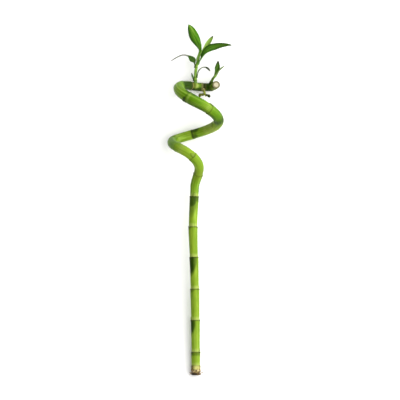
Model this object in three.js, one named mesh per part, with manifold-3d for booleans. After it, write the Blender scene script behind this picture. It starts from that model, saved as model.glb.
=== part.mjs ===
// Lucky bamboo: one curly stalk as sold loose, with its cut top, its leafy side shoots and its rooted base.
// It lies on two strands of its coil and on its root end.
//
// The stalk is described upright: X sideways, Y up the stalk from the root end, Z out of the coil's face.
// The group at the end tips that frame over until it rests on the surface, +Z up. All sizes are millimetres.

import * as THREE from "three";
import { mergeVertices } from "three/addons/utils/BufferGeometryUtils.js";
import Module from "manifold-3d";

const wasm = await Module();
wasm.setup();

// Driving dimensions
const STRAIGHT = 322; // height of the straight stretch below the coil
const COIL_END = 7.92; // quarter turns from the first bend to the cut top
const CROWN_HEIGHT = 11; // the rooted base
const GAP = 0.3; // clearance between one piece and the piece that it grows from
const LEAF_THICKNESS = 0.8;

// How far the coil tips the stalk up, how far that lifts it, and where its root end is in the part's frame
const REST_TILT = THREE.MathUtils.degToRad(4.93);
const REST_LIFT = 7.1;
const ROOT_END = [-6.95, -303.95];

// Leaf scars, measured along the stem: a few on the straight stretch, then closer together in the coil
const SCARS = [
  16, 39.4, 94.6, 148.4, 203.4, 256, 308, 349, 388, 421.5,
  464, 507.4, 556, 612, 655, 695, 718, 738, 761.4, 779,
];
// Gentle lean of the straight stretch: [height, sideways]
const LEAN = [[0, 0], [90, -1], [180, -2.8], [256, -5], [300, -3.2], [STRAIGHT, -2.2]];
// The coil, in quarter turns from its first bend: how it swings, sideways and in depth, and how it climbs
const SIDEWAYS = [[-1, -2.2], [0, 5.5], [2, -40.8], [4, 39.3], [6, -29.6], [8, 35.4]];
const DEPTH = [[-1, 0], [1, 28], [2.75, -34.8], [5, 37], [7.25, -43.7], [9.2, 30]];
const CLIMB = [
  [-1, STRAIGHT], [0, 356.6], [1, 385.2], [2, 401.5], [3, 417.2], [4, 438.6],
  [5, 468.2], [6, 494.6], [6.5, 500.7], [7, 498.7], [7.5, 498.3], [COIL_END, 501.8],
];
// Stem radius along its length, and how strongly its scars flare
const GIRTH = [
  [0, 7.8], [95, 7.8], [203, 7.7], [256, 7.9], [308, 7.8], [345, 8.3], [365, 8.6], [420, 8.5], [460, 8.5],
  [510, 8.3], [575, 9], [612, 9.3], [640, 9.8], [670, 9.7], [695, 8.8], [718, 7.8], [738, 7.3], [765, 7],
  [797, 6.8],
];
const FLARE = [[0, 1], [330, 1], [400, 0.55], [720, 0.6], [797, 0.8]];

const vector = ([x, y, z]) => new THREE.Vector3(x, y, z);

// A value that swings between stations as a cosine, so that two of them a quarter turn apart draw a circle.
function swing(stations, at) {
  const last = stations.length - 2;
  let i = 0;
  while (i < last && at > stations[i + 1][0]) i++;
  const [[from, a], [to, b]] = [stations[i], stations[i + 1]];
  return a + ((b - a) * (1 - Math.cos((Math.PI * (at - from)) / (to - from)))) / 2;
}

// A smooth curve through stations: cubic pieces whose slopes come from the neighbours.
function smooth(stations, at) {
  const last = stations.length - 1;
  let i = 0;
  while (i < last - 1 && at > stations[i + 1][0]) i++;
  const slope = (k) => {
    const [low, high] = [stations[Math.max(k - 1, 0)], stations[Math.min(k + 1, last)]];
    return (high[1] - low[1]) / (high[0] - low[0]);
  };
  const [[from, a], [to, b]] = [stations[i], stations[i + 1]];
  const span = to - from;
  const t = THREE.MathUtils.clamp((at - from) / span, 0, 1);
  const back = 1 - t;
  const straightPart = a * back * back * (1 + 2 * t) + b * t * t * (3 - 2 * t);
  return straightPart + span * t * back * (slope(i) * back - slope(i + 1) * t);
}

// Evenly spaced numbers from one to another.
function spaced(from, to, count) {
  return Array.from({ length: count + 1 }, (_, i) => from + ((to - from) * i) / count);
}

// A line through space that is measured along its length, with a frame carried along it without twisting.
class Line {
  constructor(points, firstSide = new THREE.Vector3(1, 0, 0)) {
    this.points = points;
    this.marks = [0];
    for (let i = 1; i < points.length; i++)
      this.marks.push(this.marks[i - 1] + points[i].distanceTo(points[i - 1]));
    this.length = this.marks.at(-1);
    this.sides = [];
    let side = firstSide;
    for (let i = 0; i < points.length; i++) {
      const ahead = this.ahead(i);
      side = side.clone().addScaledVector(ahead, -side.dot(ahead)).normalize();
      this.sides.push(side);
    }
  }

  // A smooth line through a few points.
  static through(points, firstSide) {
    const SAMPLES = 80;
    const curve = new THREE.CatmullRomCurve3(points, false, "centripetal");
    return new Line(curve.getPoints(SAMPLES), firstSide);
  }

  ahead(i) {
    const [low, high] = [Math.max(i - 1, 0), Math.min(i + 1, this.points.length - 1)];
    return this.points[high].clone().sub(this.points[low]).normalize();
  }

  // Position, direction and two directions across, at a distance along the line.
  at(distance) {
    let low = 0;
    let high = this.marks.length - 1;
    while (high - low > 1) {
      const middle = (low + high) >> 1;
      if (this.marks[middle] <= distance) low = middle;
      else high = middle;
    }
    const t = (distance - this.marks[low]) / (this.marks[high] - this.marks[low]);
    const point = this.points[low].clone().lerp(this.points[high], t);
    const ahead = this.ahead(low).lerp(this.ahead(high), t).normalize();
    const side = this.sides[low].clone().lerp(this.sides[high], t);
    side.addScaledVector(ahead, -side.dot(ahead)).normalize();
    return { point, ahead, side, out: side.clone().cross(ahead) };
  }
}

// A closed geometry as a solid that can be cut and joined, and back.
function solidOf(geometry) {
  const bare = geometry.clone();
  bare.deleteAttribute("normal");
  bare.deleteAttribute("uv");
  const merged = mergeVertices(bare, 1e-4);
  return new wasm.Manifold(
    new wasm.Mesh({
      numProp: 3,
      vertProperties: merged.attributes.position.array,
      triVerts: new Uint32Array(merged.index.array),
    }),
  );
}

function geometryOf(solid) {
  const { vertProperties, triVerts } = solid.getMesh();
  const geometry = new THREE.BufferGeometry();
  geometry.setAttribute("position", new THREE.BufferAttribute(vertProperties, 3));
  geometry.setIndex(new THREE.BufferAttribute(triVerts, 1));
  geometry.computeVertexNormals();
  return geometry;
}

const union = (solids) => solids.reduce((a, b) => a.add(b));

// The biggest body that a cut leaves.
const largest = (solid) => solid.decompose().reduce((a, b) => (a.volume() > b.volume() ? a : b));

// A round body along a line: a closed cylinder whose rings are moved to the given distances and radii.
function tube(line, distances, radiusAt, sides) {
  const rings = distances.length - 1;
  const geometry = new THREE.CylinderGeometry(1, 1, 1, sides, rings);
  const position = geometry.attributes.position;
  for (let i = 0; i < position.count; i++) {
    const distance = distances[Math.round((position.getY(i) + 0.5) * rings)];
    const { point, side, out } = line.at(distance);
    const radius = radiusAt(distance);
    point.addScaledVector(side, position.getX(i) * radius).addScaledVector(out, position.getZ(i) * radius);
    position.setXYZ(i, ...point.toArray());
  }
  return solidOf(geometry);
}

// A small rounded lump with its own length, width and depth; its depth is along `facing`.
function lump(centre, along, facing, length, width, depth) {
  const side = along.clone().cross(facing).normalize();
  const out = side.clone().cross(along);
  const placed = new THREE.Matrix4().makeBasis(side, along, out).setPosition(centre);
  const geometry = new THREE.SphereGeometry(1, 8, 6);
  geometry.scale(width, length, depth).applyMatrix4(placed);
  return solidOf(geometry);
}

// The stalk's middle line: straight, then two turns of the coil.
function stalkLine() {
  const STRAIGHT_STEP = 1;
  const COIL_STEPS = 900;
  const points = [];
  for (let height = 0; height < STRAIGHT; height += STRAIGHT_STEP)
    points.push(new THREE.Vector3(smooth(LEAN, height), height, 0));
  for (const turn of spaced(-1, COIL_END, COIL_STEPS))
    points.push(new THREE.Vector3(swing(SIDEWAYS, turn), smooth(CLIMB, turn), swing(DEPTH, turn)));
  return new Line(points);
}

const stalk = stalkLine();

// The stem is widest just under each leaf scar, with a thin lip there, and narrowest just above it.
function stemRadius(distance) {
  const LIP_LENGTH = 1.6;
  const LIP = 0.03;
  const NARROWING = 0.06;
  const SWELLING = 0.1;
  const BEYOND_THE_CUT = 12; // the last internode would have gone on this far
  const above = SCARS.findIndex((scar) => scar >= distance - 1e-6);
  const upper = above < 0 ? stalk.length + BEYOND_THE_CUT : SCARS[above];
  const lower = above < 0 ? SCARS.at(-1) : above > 0 ? SCARS[above - 1] : -30;
  const along = (distance - lower) / (upper - lower);
  const lip = upper - distance < LIP_LENGTH ? LIP : 0;
  const relief = SWELLING * along ** 1.6 - NARROWING + lip;
  return smooth(GIRTH, distance) * (1 + relief * smooth(FLARE, distance));
}

// Rings of the stem: close together at each leaf scar and in the coil, wide apart on the straight stretch.
function stemRings(from, to) {
  const STRAIGHT_STEP = 18;
  const COIL_STEP = 5.8;
  const UNDER_SCAR = 1.7;
  const OVER_SCAR = 0.7;
  const CHAMFER = 0.9;
  const scars = SCARS.filter((scar) => scar > from && scar < to);
  const rings = new Set([from, to]);
  for (const scar of scars) for (const offset of [-UNDER_SCAR, -0.9, 0, OVER_SCAR]) rings.add(scar + offset);
  const stops = [from - OVER_SCAR, ...scars, to - CHAMFER + UNDER_SCAR];
  for (let i = 1; i < stops.length; i++) {
    const [start, end] = [stops[i - 1] + OVER_SCAR, stops[i] - UNDER_SCAR];
    const step = end > STRAIGHT ? COIL_STEP : STRAIGHT_STEP;
    for (const ring of spaced(start, end, Math.max(1, Math.round((end - start) / step)))) rings.add(ring);
  }
  return [...rings].sort((a, b) => a - b);
}

// A dormant bud sits above each leaf scar, on alternate sides of the stem.
function buds() {
  const FIRST_ANGLE = 0.4;
  const TURN = 2.75; // nearly opposite the one below
  const ABOVE_SCAR = 3.4;
  const SUNK = 0.5;
  const withBuds = SCARS.slice(1, -3);
  return withBuds.map((scar, i) => {
    const { point, ahead, side, out } = stalk.at(scar + ABOVE_SCAR);
    const angle = FIRST_ANGLE + i * TURN;
    const facing = side.multiplyScalar(Math.cos(angle)).addScaledVector(out, Math.sin(angle));
    point.addScaledVector(facing, stemRadius(scar + ABOVE_SCAR) - SUNK);
    return lump(point, ahead, facing, 3.3, 2.5, 1.5);
  });
}

// Everything under the surface that the stalk lies on, in the upright frame. Cutting it off leaves a small
// flat spot at each place where the stalk touches the surface.
function underSurface(upright) {
  const DEEP = 40;
  const slab = new THREE.BoxGeometry(400, 1200, DEEP);
  slab.translate(0, 0, -DEEP / 2);
  slab.applyMatrix4(upright.clone().invert());
  return solidOf(slab);
}

const STEM_SIDES = 16;

function cane(surface) {
  const CHAMFER = 0.85;
  const radius = (distance) => stemRadius(distance) * (distance > stalk.length - 0.1 ? CHAMFER : 1);
  const body = tube(stalk, stemRings(CROWN_HEIGHT + GAP, stalk.length), radius, STEM_SIDES);
  return union([body, ...buds()]).subtract(surface);
}

// The rooted base: a rough stub with short roots out of it all round, those near the surface running level.
function rootCrown(surface) {
  const ROOTS = 11;
  const GOLDEN_ANGLE = 2.4;
  const ROOT_RADIUS = 1.1;
  const SHORTEST = 8.9; // from the stem's middle line
  const knob = (distance) => 8 + 0.55 * Math.sin(distance) - (distance < 1 ? 1.2 : 0);
  const roots = Array.from({ length: ROOTS }, (_, i) => {
    const angle = i * GOLDEN_ANGLE;
    const low = Math.sin(angle) < -0.3;
    const outward = vector([-Math.cos(angle), 0, low ? -0.1 : Math.sin(angle)]).normalize();
    const start = vector([0, 2.5 + (i % 4) * 2.1, low ? -3.2 : 0]);
    const reach = SHORTEST + 0.14 * ((i * 5) % 7) ** 2; // most are stubs, a few are longer
    const droop = i % 2 ? -0.45 : 0.3;
    const sag = (k) => vector([0, droop * k * k, 0]);
    const along = [0, 6, (6 + reach) / 2, reach];
    const bent = along.map((far, k) => start.clone().addScaledVector(outward, far).add(sag(k)));
    const line = Line.through(bent, new THREE.Vector3(0, 1, 0.1));
    return tube(line, spaced(0, line.length, 4), (far) => ROOT_RADIUS * (1 - (0.5 * far) / line.length), 6);
  });
  const body = tube(stalk, [0, 1.2, 3, 5, 7, 9, CROWN_HEIGHT], knob, STEM_SIDES);
  return union([body, ...roots]).subtract(surface);
}

// A side shoot starts inside the stem that it grows from, and ends where that stem's surface begins.
function shoot({ line, from, radius, sides = 12 }, lumps = []) {
  const body = tube(line, spaced(0, line.length, Math.round(line.length / 3.2)), radius, sides);
  const AROUND = 14;
  const FIT = 0.12; // besides the gap, for the flat facets
  const clear = (distance) => stemRadius(distance) + GAP + FIT;
  const parent = tube(stalk, stemRings(from - AROUND, from + AROUND), clear, 2 * STEM_SIDES);
  return largest(union([body, ...lumps]).subtract(parent));
}

// The main shoot: from its place on the stem, leaning out of the coil's face as it climbs
const MAIN_FROM = 746.5;
const MAIN_RADIUS = [[0, 3.2], [9, 3], [15, 2.7], [32, 2.6], [42, 2.6], [50, 2], [58, 1]];
const mainShoot = {
  from: MAIN_FROM,
  line: Line.through([
    stalk.at(MAIN_FROM).point,
    ...[[-1.4, 506, -37.5], [-1, 515, -36.5], [-0.4, 524, -35], [0.9, 534, -33.4], [3.4, 543, -31.8],
      [6.6, 554, -29.6]].map(vector),
  ]),
  radius: (distance) => smooth(MAIN_RADIUS, distance),
};

// The small shoot beside the cut top
const SMALL_FROM = 775.5;
const SMALL_RADIUS = [[0, 3.3], [10, 3.2], [14, 2.3], [22, 2], [30, 1.1]];
const smallShoot = {
  from: SMALL_FROM,
  line: Line.through([
    stalk.at(SMALL_FROM).point,
    ...[[26.6, 506, -35.6], [29.2, 512, -34.6], [32.8, 517, -34], [36, 522.5, -33.2]].map(vector),
  ]),
  radius: (distance) => smooth(SMALL_RADIUS, distance),
};

// The bud shoot under the stem, with two withered leaf lobes beside its tip
const BUD_FROM = 761.5;
const BUD_RADIUS = [[0, 2.4], [12, 2.1], [20, 1.7]];
const budShoot = {
  from: BUD_FROM,
  line: Line.through([
    stalk.at(BUD_FROM).point,
    ...[[14.2, 490.5, -35.6], [15.6, 486, -33.4], [17.6, 481.6, -32]].map(vector),
  ]),
  radius: (distance) => smooth(BUD_RADIUS, distance),
};

function budLobes() {
  const toViewer = new THREE.Vector3(0, 0, 1);
  const rows = [
    { centre: [11.6, 485.6, -33], along: [1, 0.35, 0], size: [4, 1.7, 1.7] },
    { centre: [7, 483.6, -32.4], along: [0.5, 1, 0.1], size: [3.8, 2.7, 2.4] },
    { centre: [18.6, 484, -31.8], along: [1, -0.2, 0], size: [3.2, 1.4, 1.4] },
    { centre: [22, 483, -31.4], along: [1, -0.5, 0.1], size: [3, 2.3, 2.2] },
  ];
  return rows.map(({ centre, along, size }) =>
    lump(vector(centre), vector(along).normalize(), toViewer, ...size),
  );
}

// A leaf grows from a shoot: its foot clasps it as a gutter, on the side `away`, and the blade flattens out
// beyond. `reach` is the rest of its midrib, `face` which way its upper side turns along it, `widths` its
// half-width and `curl` the half-angle of its gutter, both by the share of its length.
function leaf({ on, from, hold, away, reach, face, widths, curl, grip = 1.2 }) {
  const FIT = 0.2; // besides the gap, since its flat facets cut across the round stem
  const LENGTHWISE = 14;
  const ACROSS = 6;
  const foot = [];
  let clasp = 0;
  for (const distance of [from, from + hold]) {
    const { point, ahead } = on.line.at(distance);
    const outward = vector(away);
    outward.addScaledVector(ahead, -outward.dot(ahead)).normalize();
    clasp = Math.max(clasp, on.radius(distance) + GAP + FIT + LEAF_THICKNESS / 2);
    foot.push(point.addScaledVector(outward, clasp));
  }
  const line = Line.through([...foot, ...reach.map(vector)]);
  const held = hold / line.length;
  const halfWidths = [[0, clasp * grip], [held, clasp * grip], ...widths];
  const halfAngles = [[0, grip], [held, grip], ...curl];
  const faces = [vector(away).negate().toArray(), vector(away).negate().toArray(), ...face];
  const turns = faces.map((_, i) => (i < 2 ? i * held : held + ((1 - held) * (i - 1)) / (faces.length - 2)));
  const upAt = (t) => vector([0, 1, 2].map((axis) => smooth(faces.map((f, i) => [turns[i], f[axis]]), t)));
  const rows = spaced(0, 1, LENGTHWISE).map((t) => {
    const { point, ahead } = line.at(line.length * t);
    const up = upAt(t);
    up.addScaledVector(ahead, -up.dot(ahead)).normalize();
    const side = ahead.clone().cross(up);
    const angle = smooth(halfAngles, t);
    const gutter = smooth(halfWidths, t) / angle;
    point.addScaledVector(up, gutter);
    const onGutter = (radius, turn) =>
      point
        .clone()
        .addScaledVector(side, radius * Math.sin(turn))
        .addScaledVector(up, -radius * Math.cos(turn));
    return [gutter + LEAF_THICKNESS / 2, gutter - LEAF_THICKNESS / 2].map((radius) =>
      spaced(-angle, angle, ACROSS).map((turn) => onGutter(radius, turn)),
    );
  });
  return solidOf(sheetBody(rows));
}

// Rows of an under side and an upper side, closed along their edges. Both sides are split alike.
function sheetBody(rows) {
  const columns = rows[0][0].length;
  const points = rows.flat(2);
  const at = (row, layer, column) => (row * 2 + layer) * columns + column;
  const triangles = [];
  const quad = (a, b, c, d) => triangles.push(a, b, c, a, c, d);
  const [lastRow, lastColumn] = [rows.length - 1, columns - 1];
  for (let i = 0; i < lastRow; i++) {
    for (let j = 0; j < lastColumn; j++) {
      quad(at(i, 1, j), at(i, 1, j + 1), at(i + 1, 1, j + 1), at(i + 1, 1, j));
      triangles.push(at(i, 0, j), at(i + 1, 0, j + 1), at(i, 0, j + 1));
      triangles.push(at(i, 0, j), at(i + 1, 0, j), at(i + 1, 0, j + 1));
    }
    quad(at(i, 0, 0), at(i, 1, 0), at(i + 1, 1, 0), at(i + 1, 0, 0));
    quad(at(i, 1, lastColumn), at(i, 0, lastColumn), at(i + 1, 0, lastColumn), at(i + 1, 1, lastColumn));
  }
  for (let j = 0; j < lastColumn; j++) {
    quad(at(0, 0, j), at(0, 0, j + 1), at(0, 1, j + 1), at(0, 1, j));
    quad(at(lastRow, 0, j + 1), at(lastRow, 0, j), at(lastRow, 1, j), at(lastRow, 1, j + 1));
  }
  const geometry = new THREE.BufferGeometry();
  geometry.setAttribute("position", new THREE.Float32BufferAttribute(points.flatMap((p) => p.toArray()), 3));
  geometry.setIndex(triangles);
  return geometry;
}

const LEAVES = {
  main_leaf_scale: {
    on: mainShoot, from: 9.6, hold: 3, away: [-1, 0, 0.1], grip: 0.9,
    reach: [[-6.2, 515, -35.8], [-7.8, 522.4, -35]],
    face: [[0.7, 0.2, 0.7], [0.5, 0.2, 0.85]],
    widths: [[0.6, 2.3], [1, 0.6]],
    curl: [[0.6, 0.7], [1, 0.3]],
  },
  main_leaf_thread: {
    on: mainShoot, from: 15.5, hold: 3.5, away: [1, 0, 0.3], grip: 0.85,
    reach: [[5, 526, -31], [8.8, 530.2, -29], [13.4, 532, -27], [18.8, 530.8, -25.2], [24.8, 525, -24]],
    face: [[-0.5, 0.5, 0.7], [0, 0.6, 0.8], [0.3, 0.5, 0.8]],
    widths: [[0.35, 1.5], [0.6, 0.9], [0.84, 1.9], [1, 0.6]],
    curl: [[0.35, 0.6], [0.7, 0.4], [1, 0.3]],
  },
  main_leaf_withered: {
    on: mainShoot, from: 32.5, hold: 4, away: [-1, 0, 0.15], grip: 0.95,
    reach: [
      [-7, 545.6, -33], [-14.6, 552.2, -33.6], [-23.2, 553.4, -35], [-31.2, 550.4, -37], [-39.2, 546, -40],
      [-44.2, 542.8, -42],
    ],
    face: [[0.2, 0.2, 0.95], [0.15, 0.4, 0.9], [0, 0.6, 0.8], [-0.2, 0.6, 0.8]],
    widths: [[0.14, 5], [0.22, 6.3], [0.31, 4.6], [0.41, 1.6], [0.47, 1.2], [0.8, 1.2], [1, 0.7]],
    curl: [[0.2, 0.6], [0.36, 0.6], [0.46, 0.5], [1, 0.4]],
  },
  main_leaf_right: {
    on: mainShoot, from: 39, hold: 6, away: [0.84, 0, 0.54], grip: 1.1,
    reach: [
      [10.2, 547.4, -25.2], [13.2, 553.4, -24.2], [17.8, 560, -23.8], [24.8, 564.6, -22.8],
      [32.8, 567, -21.8], [42.8, 569.2, -20], [52.8, 570.2, -18], [63, 569.8, -15.5],
    ],
    face: [[-0.6, 0.45, 0.6], [-0.2, 0.45, 0.85], [0, 0.35, 0.94], [0, 0.35, 0.94], [0.1, 0.3, 0.95]],
    widths: [[0.22, 4.8], [0.34, 6.1], [0.5, 6.9], [0.7, 5.4], [0.88, 2.8], [1, 0.5]],
    curl: [[0.22, 1], [0.34, 0.6], [0.5, 0.4], [0.8, 0.3], [1, 0.2]],
  },
  main_leaf_left: {
    on: mainShoot, from: 45, hold: 6, away: [-0.97, 0, 0.25], grip: 0.9,
    reach: [
      [6.3, 561, -28.4], [5, 567.5, -28.6], [1.2, 576, -29.6], [-4.2, 586.5, -31.4], [-8.7, 597, -34],
      [-13.2, 607.2, -37.4],
    ],
    face: [[0.7, 0, -0.7], [0.4, 0, -0.9], [0.3, 0.1, -0.95], [0.3, 0.2, -0.93]],
    widths: [[0.28, 4.2], [0.4, 5.8], [0.6, 8.7], [0.74, 8.3], [0.87, 6], [0.95, 3], [1, 0.6]],
    curl: [[0.28, 0.6], [0.5, 0.4], [0.8, 0.3], [1, 0.2]],
  },
  main_leaf_spear: {
    on: mainShoot, from: 53, hold: 3.5, away: [0, 0, -1], grip: 0.85,
    reach: [
      [13, 561, -34.6], [18.2, 568, -36.8], [22.2, 574.6, -37.8], [26, 580.8, -38.4], [30.2, 587.2, -38.6],
    ],
    face: [[-0.2, 0, 1], [-0.3, 0.1, 1], [-0.3, 0.2, 0.95]],
    widths: [[0.22, 2.9], [0.42, 4.1], [0.6, 4.7], [0.85, 3.4], [1, 0.7]],
    curl: [[0.22, 0.95], [0.42, 0.9], [0.7, 0.8], [1, 0.3]],
  },
  small_leaf_upright: {
    on: smallShoot, from: 22.5, hold: 2.5, away: [0.1, 0, -1], grip: 1.15,
    reach: [[37, 527, -36], [37.6, 533, -36.4], [38, 538, -36.2], [38.4, 544, -35.4]],
    face: [[-0.2, 0, 1], [-0.1, 0, 1], [0, 0.1, 1]],
    widths: [[0.35, 4.2], [0.55, 4.7], [0.8, 3], [1, 0.5]],
    curl: [[0.35, 0.7], [0.6, 0.5], [1, 0.3]],
  },
  small_leaf_side: {
    on: smallShoot, from: 21, hold: 2.4, away: [0.4, 0, 0.92], grip: 0.85,
    reach: [[40.4, 526.4, -29.6], [45, 530.8, -28.8], [49.8, 534.6, -28.4]],
    face: [[-0.5, 0.4, -0.75], [-0.4, 0.5, -0.75], [-0.4, 0.5, -0.75]],
    widths: [[0.35, 1.6], [0.75, 1.6], [1, 0.6]],
    curl: [[0.35, 0.6], [1, 0.3]],
  },
};

const MATERIALS = {
  stem: new THREE.MeshStandardMaterial({ color: 0x76a325, roughness: 0.4 }),
  root: new THREE.MeshStandardMaterial({ color: 0x6b4a22, roughness: 0.85 }),
  shoot: new THREE.MeshStandardMaterial({ color: 0x86b04a, roughness: 0.45 }),
  leaf: new THREE.MeshStandardMaterial({ color: 0x44820f, roughness: 0.45, side: THREE.DoubleSide }),
};

const plant = new THREE.Group();
plant.rotation.x = REST_TILT;
plant.position.set(...ROOT_END, REST_LIFT);
plant.updateMatrixWorld();

function add(name, solid, material) {
  const mesh = new THREE.Mesh(geometryOf(solid), material);
  mesh.name = name;
  plant.add(mesh);
}

const surface = underSurface(plant.matrixWorld);
add("cane", cane(surface), MATERIALS.stem);
add("root_crown", rootCrown(surface), MATERIALS.root);
add("main_shoot_stem", shoot(mainShoot), MATERIALS.shoot);
add("small_shoot_stem", shoot(smallShoot), MATERIALS.shoot);
add("bud_shoot", shoot(budShoot, budLobes()), MATERIALS.shoot);
for (const [name, form] of Object.entries(LEAVES)) add(name, leaf(form), MATERIALS.leaf);

export default plant;
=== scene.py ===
"""The looks of one curly lucky bamboo stalk, which lies on its coil and on its rooted end.

The stalk's form is worked out in an upright frame, in millimetres: X sideways, Y up the stalk from the
root end, Z out of the coil's face. in_row() tips it over to where the frame has it.
"""

import math

import bpy
import numpy as np
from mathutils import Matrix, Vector


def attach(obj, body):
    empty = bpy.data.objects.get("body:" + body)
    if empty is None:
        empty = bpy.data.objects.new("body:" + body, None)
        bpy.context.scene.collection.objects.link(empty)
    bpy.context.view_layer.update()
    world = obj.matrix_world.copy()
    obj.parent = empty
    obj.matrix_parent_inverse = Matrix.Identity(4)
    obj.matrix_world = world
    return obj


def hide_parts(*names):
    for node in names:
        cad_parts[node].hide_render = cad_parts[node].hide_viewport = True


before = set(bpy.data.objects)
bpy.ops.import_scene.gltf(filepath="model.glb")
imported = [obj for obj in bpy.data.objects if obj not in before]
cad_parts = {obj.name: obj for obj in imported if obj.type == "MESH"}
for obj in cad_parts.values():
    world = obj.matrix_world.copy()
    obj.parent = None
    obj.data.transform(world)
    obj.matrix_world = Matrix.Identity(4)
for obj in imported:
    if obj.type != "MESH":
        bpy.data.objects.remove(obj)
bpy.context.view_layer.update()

# How the stalk rests, as in the frame
REST_TILT = math.radians(4.93)
REST_LIFT = 7.1
ROOT_END = (-6.95, -303.95)
MILLIMETRE = 0.001

# The stalk's middle line: a lean on the straight stretch, then two turns of coil. The lean is by height, and
# the coil's places by quarter turns.
STRAIGHT = 322
COIL_END = 7.92
LEAN = [(0, 0), (90, -1), (180, -2.8), (256, -5), (300, -3.2), (STRAIGHT, -2.2)]
SIDEWAYS = [(-1, -2.2), (0, 5.5), (2, -40.8), (4, 39.3), (6, -29.6), (8, 35.4)]
DEPTH = [(-1, 0), (1, 28), (2.75, -34.8), (5, 37), (7.25, -43.7), (9.2, 30)]
CLIMB = [
    (-1, STRAIGHT), (0, 356.6), (1, 385.2), (2, 401.5), (3, 417.2), (4, 438.6),
    (5, 468.2), (6, 494.6), (6.5, 500.7), (7, 498.7), (7.5, 498.3), (COIL_END, 501.8),
]
CROWN_HEIGHT = 11
# The stem by its length: its leaf scars, its radius, and how strongly it flares under each scar
SCARS = [
    16, 39.4, 94.6, 148.4, 203.4, 256, 308, 349, 388, 421.5,
    464, 507.4, 556, 612, 655, 695, 718, 738, 761.4, 779,
]
GIRTH = [
    (0, 7.8), (95, 7.8), (203, 7.7), (256, 7.9), (308, 7.8), (345, 8.3), (365, 8.6), (420, 8.5),
    (460, 8.5), (510, 8.3), (575, 9), (612, 9.3), (640, 9.8), (670, 9.7), (695, 8.8), (718, 8),
    (738, 7.65), (765, 7.35), (797, 6.8),
]
FLARE = [(0, 1), (330, 1), (400, 0.55), (720, 0.6), (797, 0.8)]


# Curves and lines

def located(stations, at):
    """Stations as keys and values, the number of the one before each place, and the share to the next."""
    keys, values = np.array(stations, float).T
    i = np.clip(np.searchsorted(keys, at, side="right") - 1, 0, len(keys) - 2)
    return keys, values, i, (at - keys[i]) / (keys[i + 1] - keys[i])


def swing(stations, at):
    """A value that swings between stations as a cosine."""
    _, values, i, t = located(stations, at)
    return values[i] + (values[i + 1] - values[i]) * (1 - np.cos(np.pi * t)) / 2


def smooth(stations, at):
    """A smooth curve through stations: cubic pieces whose slopes come from the neighbours."""
    keys, values, i, t = located(stations, at)
    low = np.maximum(np.arange(len(keys)) - 1, 0)
    high = np.minimum(np.arange(len(keys)) + 1, len(keys) - 1)
    slopes = (values[high] - values[low]) / (keys[high] - keys[low])
    t = np.clip(t, 0, 1)
    back = 1 - t
    ends = values[i] * back**2 * (1 + 2 * t) + values[i + 1] * t**2 * (3 - 2 * t)
    return ends + (keys[i + 1] - keys[i]) * t * back * (slopes[i] * back - slopes[i + 1] * t)


def step(value, low, high):
    """0 below low, 1 above high, and an S curve between."""
    t = np.clip((value - low) / (high - low), 0, 1)
    return t * t * (3 - 2 * t)


def bell(value, width):
    """1 at nought, and fading out on both sides of it over about the width."""
    return np.exp(-((value / width) ** 2))


def unit(v):
    """Vectors at a length of 1."""
    v = np.asarray(v, float)
    return v / np.linalg.norm(v, axis=-1, keepdims=True)


def through(points):
    """A smooth curve through a few points: a centripetal Catmull-Rom spline."""
    samples = 80
    points = np.array(points, float)
    padded = np.vstack([2 * points[0] - points[1], points, 2 * points[-1] - points[-2]])
    t = np.linspace(0, len(points) - 1, samples + 1)
    i = np.minimum(t.astype(int), len(points) - 2)
    t = (t - i)[:, None]
    p0, p1, p2, p3 = (padded[i + k] for k in range(4))
    spans = [(p0, p1), (p1, p2), (p2, p3)]
    d0, d1, d2 = (np.linalg.norm(b - a, axis=1, keepdims=True) ** 0.5 for a, b in spans)
    leave = ((p1 - p0) / d0 - (p2 - p0) / (d0 + d1) + (p2 - p1) / d1) * d1
    arrive = ((p2 - p1) / d1 - (p3 - p1) / (d1 + d2) + (p3 - p2) / d2) * d1
    square = -3 * p1 + 3 * p2 - 2 * leave - arrive
    cube = 2 * p1 - 2 * p2 + leave + arrive
    return p1 + leave * t + square * t**2 + cube * t**3


class Line:
    """A line measured along its length, with a frame carried along it without twisting."""

    def __init__(self, points, first_side=(1, 0, 0)):
        self.points = np.array(points, float)
        steps = np.linalg.norm(np.diff(self.points, axis=0), axis=1)
        self.marks = np.concatenate([[0], np.cumsum(steps)])
        self.length = self.marks[-1]
        padded = np.vstack([self.points[:1], self.points, self.points[-1:]])
        self.aheads = unit(padded[2:] - padded[:-2])
        side, sides = first_side, []
        for ahead in self.aheads:
            side = unit(side - ahead * (side @ ahead))
            sides.append(side)
        self.sides = np.array(sides)

    def at(self, distance):
        """Position, direction and two directions across, at distances along the line."""
        point, ahead, side = (
            np.stack([np.interp(distance, self.marks, rows[:, k]) for k in range(3)], -1)
            for rows in (self.points, self.aheads, self.sides)
        )
        ahead = unit(ahead)
        side = unit(side - ahead * (side * ahead).sum(-1, keepdims=True))
        return point, ahead, side, np.cross(side, ahead)


def stalk_line():
    """The stalk's middle line, from the root end to the cut."""
    heights = np.arange(0, STRAIGHT, 1)
    turns = np.linspace(-1, COIL_END, 901)
    straight = np.stack([smooth(LEAN, heights), heights, 0 * heights], -1)
    coil = np.stack([swing(SIDEWAYS, turns), smooth(CLIMB, turns), swing(DEPTH, turns)], -1)
    return Line(np.vstack([straight, coil]))


stalk = stalk_line()
# The scars, with a place below the root end and one beyond the cut, so that each point is between two
BELOW_ROOT, BEYOND_CUT = -30, 12
SCARS_AND_ENDS = np.array([BELOW_ROOT, *SCARS, stalk.length + BEYOND_CUT])


def between_scars(distance):
    """The number in SCARS_AND_ENDS of the next place up the stem, and the places below and above."""
    i = np.searchsorted(SCARS_AND_ENDS, distance, side="left")
    return i, SCARS_AND_ENDS[i - 1], SCARS_AND_ENDS[i]


# Meshes

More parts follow.
